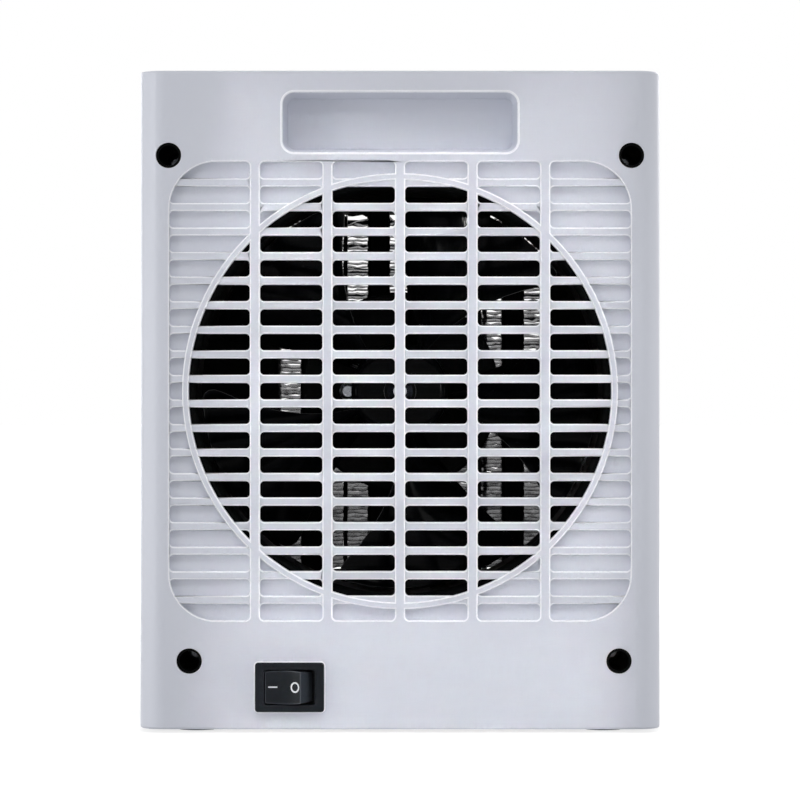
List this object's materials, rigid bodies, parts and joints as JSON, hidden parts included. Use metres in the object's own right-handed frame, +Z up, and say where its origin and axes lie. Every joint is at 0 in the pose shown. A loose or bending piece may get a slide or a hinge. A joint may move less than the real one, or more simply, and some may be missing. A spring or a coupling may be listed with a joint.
{
  "type": "fan heater",
  "caption": "Free-standing box-shaped fan heater: slotted rear intake grille with a round open field, axial fan, ceramic fin element, front outlet and a rocker switch at the back.",
  "frame": {"origin": "middle of the base, on the surface that the rubber feet stand on", "axes": "+X to the right as seen from behind, +Y along the air flow from the rear intake to the front outlet, +Z up"},
  "size_m": [0.159, 0.1242, 0.2017],
  "materials": {
    "case_plastic": "satin moulded",
    "dark_plastic": "satin moulded",
    "rubber": "matte",
    "zinc_steel": "zinc plated",
    "black_gloss": "glossy moulded",
    "black_matte": "satin moulded",
    "stator_steel": "varnished sheets",
    "shaft_steel": "ground",
    "rotor_aluminium": "cast",
    "copper": "enamelled",
    "bronze": "sintered",
    "nylon_white": "moulded",
    "fin_aluminium": "bright rolled",
    "ceramic": "fired ceramic",
    "tinned_brass": "tinned",
    "black_heatproof": "glass-filled",
    "bakelite": "phenolic",
    "fuse_metal": "tinned"
  },
  "bodies": {
    "case": {"rear_housing": "case_plastic", "front_housing": "case_plastic", "outlet_grille": "dark_plastic", "rubber_feet": "rubber", "case_screws": "zinc_steel", "fan_duct": "black_matte", "duct_screws": "zinc_steel", "motor_stator": "stator_steel", "shading_rings": "copper", "motor_bobbin": "nylon_white", "motor_coil": "copper", "motor_rear_bracket": "zinc_steel", "motor_front_bracket": "zinc_steel", "motor_bushes": "bronze", "motor_screws": "zinc_steel", "motor_nuts": "zinc_steel", "heater_tubes": "fin_aluminium", "ceramic_stones": "ceramic", "heater_electrodes": "tinned_brass", "heater_fins": "fin_aluminium", "fin_strips": "fin_aluminium", "heater_top_holder": "black_heatproof", "heater_bottom_holder": "black_heatproof", "holder_screws": "zinc_steel", "heater_baffle": "black_heatproof", "baffle_screws": "zinc_steel", "thermal_cutout": "bakelite", "cutout_screws": "zinc_steel", "thermal_fuse": "fuse_metal", "fuse_clip": "zinc_steel", "switch_housing": "black_matte", "switch_terminals": "tinned_brass", "terminal_block": "nylon_white", "block_screws": "zinc_steel", "cord_bush": "black_matte", "cord_clamp": "nylon_white", "clamp_screws": "zinc_steel"},
    "fan": {"fan_impeller": "black_gloss", "impeller_clip": "zinc_steel", "motor_rotor": "rotor_aluminium", "motor_shaft": "shaft_steel"},
    "rocker": {"switch_rocker": "black_matte"}
  },
  "joints": [
    {"name": "fan_spin", "type": "hinge", "parent": "case", "child": "fan", "pos_m": [0, 0, 0.1041], "axis": [0, 1, 0], "continuous": true},
    {"name": "rocker_tilt", "type": "hinge", "parent": "case", "child": "rocker", "pos_m": [-0.0336, -0.05268, 0.014], "axis": [0, 0, 1], "range_deg": [0, 28]}
  ]
}
